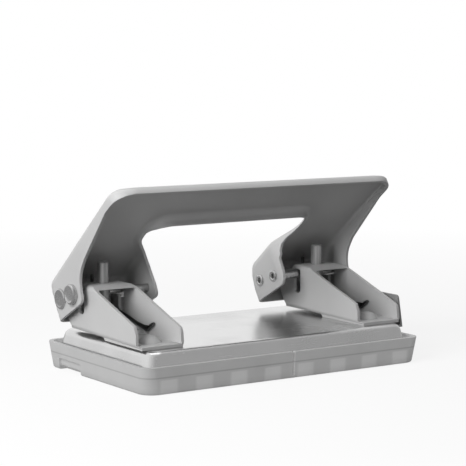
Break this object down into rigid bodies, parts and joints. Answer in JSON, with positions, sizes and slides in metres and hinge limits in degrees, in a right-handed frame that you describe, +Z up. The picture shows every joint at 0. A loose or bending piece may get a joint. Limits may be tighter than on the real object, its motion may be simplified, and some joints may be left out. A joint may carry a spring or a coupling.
{
  "type": "two-hole paper punch",
  "caption": "Lever-operated two-hole desk paper punch: a flanged steel lever with a hand opening over two sprung punch brackets on a steel base with a translucent chad tray.",
  "frame": {"origin": "middle of the tray's flat rest face", "axes": "+X right along the punch's length, +Y towards the paper side, -Y the lever's open side, +Z up"},
  "size_m": [0.1034, 0.0602, 0.0581],
  "materials": {
    "tray": "frosted translucent",
    "base": "bright plated steel",
    "painted": "satin silver paint",
    "gauge": "satin grey",
    "polished": "polished steel",
    "spring": "dark spring steel"
  },
  "bodies": {
    "frame": {"base_plate": "base", "bracket_left": "painted", "bracket_right": "painted", "bracket_rivet_left": "painted", "bracket_rivet_right": "painted", "return_spring_left": "spring", "return_spring_right": "spring", "rivet_washer_left": "spring", "rivet_washer_right": "spring", "gauge_guide_left": "base", "gauge_guide_right": "base"},
    "tray": {"chad_tray": "tray"},
    "lever": {"lever": "painted", "pivot_pin_left": "polished", "pivot_pin_right": "polished", "drive_pin_left": "polished", "drive_pin_right": "polished"},
    "punch_left": {"punch_pin_left": "polished"},
    "punch_right": {"punch_pin_right": "polished"},
    "gauge": {"paper_gauge": "gauge"}
  },
  "joints": [
    {"name": "lever_press", "type": "hinge", "parent": "frame", "child": "lever", "pos_m": [0, 0.0194, 0.0221], "axis": [1, 0, 0], "range_deg": [0, 34.1], "stiffness_Nm_per_rad": 0.17, "springref_deg": -17.19, "deforming": ["return_spring_left", "return_spring_right"]},
    {"name": "punch_left_slide", "type": "slide", "parent": "frame", "child": "punch_left", "axis": [0, 0, -1], "range_m": [0, 0.00461]},
    {"name": "punch_right_slide", "type": "slide", "parent": "frame", "child": "punch_right", "axis": [0, 0, -1], "range_m": [0, 0.00461]},
    {"name": "gauge_slide", "type": "slide", "parent": "frame", "child": "gauge", "axis": [1, 0, 0], "range_m": [0, 0.03]},
    {"name": "tray_pull_off", "type": "slide", "parent": "frame", "child": "tray", "axis": [0, 0, -1], "range_m": [0, 0.012]}
  ],
  "couplings": [
    {"joint": "punch_left_slide", "follows": "lever_press", "m_per_rad": 0.0077295},
    {"joint": "punch_right_slide", "follows": "lever_press", "m_per_rad": 0.0077295}
  ]
}
